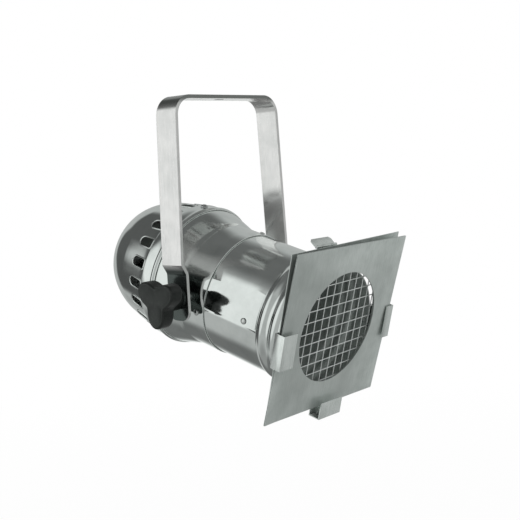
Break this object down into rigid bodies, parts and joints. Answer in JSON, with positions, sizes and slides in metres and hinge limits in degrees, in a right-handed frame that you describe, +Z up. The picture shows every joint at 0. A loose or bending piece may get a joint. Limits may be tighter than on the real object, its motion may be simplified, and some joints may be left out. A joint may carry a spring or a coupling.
{
  "type": "par can",
  "caption": "Polished aluminium par can for a PAR 38 lamp, hung nose down in a flat-bar yoke, with a colour frame and a wire guard in its front clips.",
  "frame": {"origin": "centre of the hanging hole, on the top face of the yoke's bar", "axes": "+Z up out of the bar's top face, +X the way the can throws its light, +Y along the bar to the can's far side (its own left); the can is at rest 15.09 degrees nose down about the tilt pivot at (0, 0, -0.2014)"},
  "size_m": [0.3233, 0.2164, 0.3263],
  "materials": {
    "polished_aluminium": "mirror polished spun and rolled sheet",
    "satin_aluminium": "satin, as rolled",
    "satin_steel": "satin plated sheet",
    "galvanised_wire": "dull galvanised",
    "zinc_plated_steel": "bright zinc plate",
    "black_plastic": "moulded black, low sheen",
    "brass": "turned brass, bare",
    "lamp_glass": "pressed glass, stippled",
    "lamp_mirror": "aluminised inside of pressed glass",
    "white_ceramic": "unglazed steatite"
  },
  "bodies": {
    "yoke": {"yoke": "satin_aluminium"},
    "can": {"front_tube": "polished_aluminium", "rear_housing": "polished_aluminium", "rear_cap": "polished_aluminium", "clamp_bolt_near": "zinc_plated_steel", "clamp_bolt_far": "zinc_plated_steel", "clamp_spacer_near": "zinc_plated_steel", "clamp_spacer_far": "zinc_plated_steel", "clamp_washer_near": "zinc_plated_steel", "clamp_washer_far": "zinc_plated_steel", "clip_left": "satin_steel", "clip_right": "satin_steel", "clip_bottom": "satin_steel", "clip_left_rivet": "satin_aluminium", "clip_right_rivet": "satin_aluminium", "clip_bottom_rivet": "satin_aluminium", "latch_bracket": "satin_steel", "latch_bracket_rivet": "satin_aluminium", "latch_pin": "zinc_plated_steel", "seam_rivet": "satin_aluminium", "neck_rivet_1": "satin_aluminium", "neck_rivet_2": "satin_aluminium", "neck_rivet_3": "satin_aluminium", "cap_screw_1": "zinc_plated_steel", "cap_screw_2": "zinc_plated_steel", "lampholder": "white_ceramic", "holder_contact": "brass", "lampholder_bracket": "zinc_plated_steel", "holder_screw_1": "zinc_plated_steel", "holder_screw_2": "zinc_plated_steel", "earth_screw": "zinc_plated_steel", "bracket_rivet_1": "satin_aluminium", "bracket_rivet_2": "satin_aluminium", "terminal_block": "white_ceramic", "cable_gland": "black_plastic", "gland_nut": "black_plastic"},
    "knob_near": {"clamp_knob_near": "black_plastic", "knob_insert_near": "brass"},
    "knob_far": {"clamp_knob_far": "black_plastic", "knob_insert_far": "brass"},
    "colour_frame": {"colour_frame": "satin_steel"},
    "guard": {"guard_frame": "satin_steel", "guard_mesh": "galvanised_wire"},
    "latch": {"top_latch": "satin_steel"},
    "lamp": {"lamp_lens": "lamp_glass", "lamp_reflector": "lamp_mirror", "lamp_filament": "zinc_plated_steel", "lamp_screw_cap": "brass", "lamp_contact": "zinc_plated_steel"}
  },
  "joints": [
    {"name": "tilt", "type": "hinge", "parent": "yoke", "child": "can", "pos_m": [0, 0, -0.2014], "axis": [0, 1, 0], "range_deg": [-65, 213]},
    {"name": "knob_near_turn", "type": "hinge", "parent": "can", "child": "knob_near", "pos_m": [0, -0.1, -0.2014], "axis": [0, -1, 0], "range_deg": [0, 720]},
    {"name": "knob_far_turn", "type": "hinge", "parent": "can", "child": "knob_far", "pos_m": [0, 0.1, -0.2014], "axis": [0, 1, 0], "range_deg": [0, 720]},
    {"name": "colour_frame_slide", "type": "slide", "parent": "can", "child": "colour_frame", "axis": [0.3072, 0, 0.9516], "range_m": [-0.008, 0.175]},
    {"name": "guard_slide", "type": "slide", "parent": "can", "child": "guard", "axis": [0.281, 0, 0.9597], "range_m": [-0.008, 0.175]},
    {"name": "latch_turn", "type": "hinge", "parent": "can", "child": "latch", "pos_m": [0.15703, -0.032, -0.15022], "axis": [0, -1, 0], "range_deg": [-146, 0]},
    {"name": "lamp_out", "type": "slide", "parent": "can", "child": "lamp", "axis": [0.9655, 0, -0.2603], "range_m": [0, 0.028]}
  ]
}
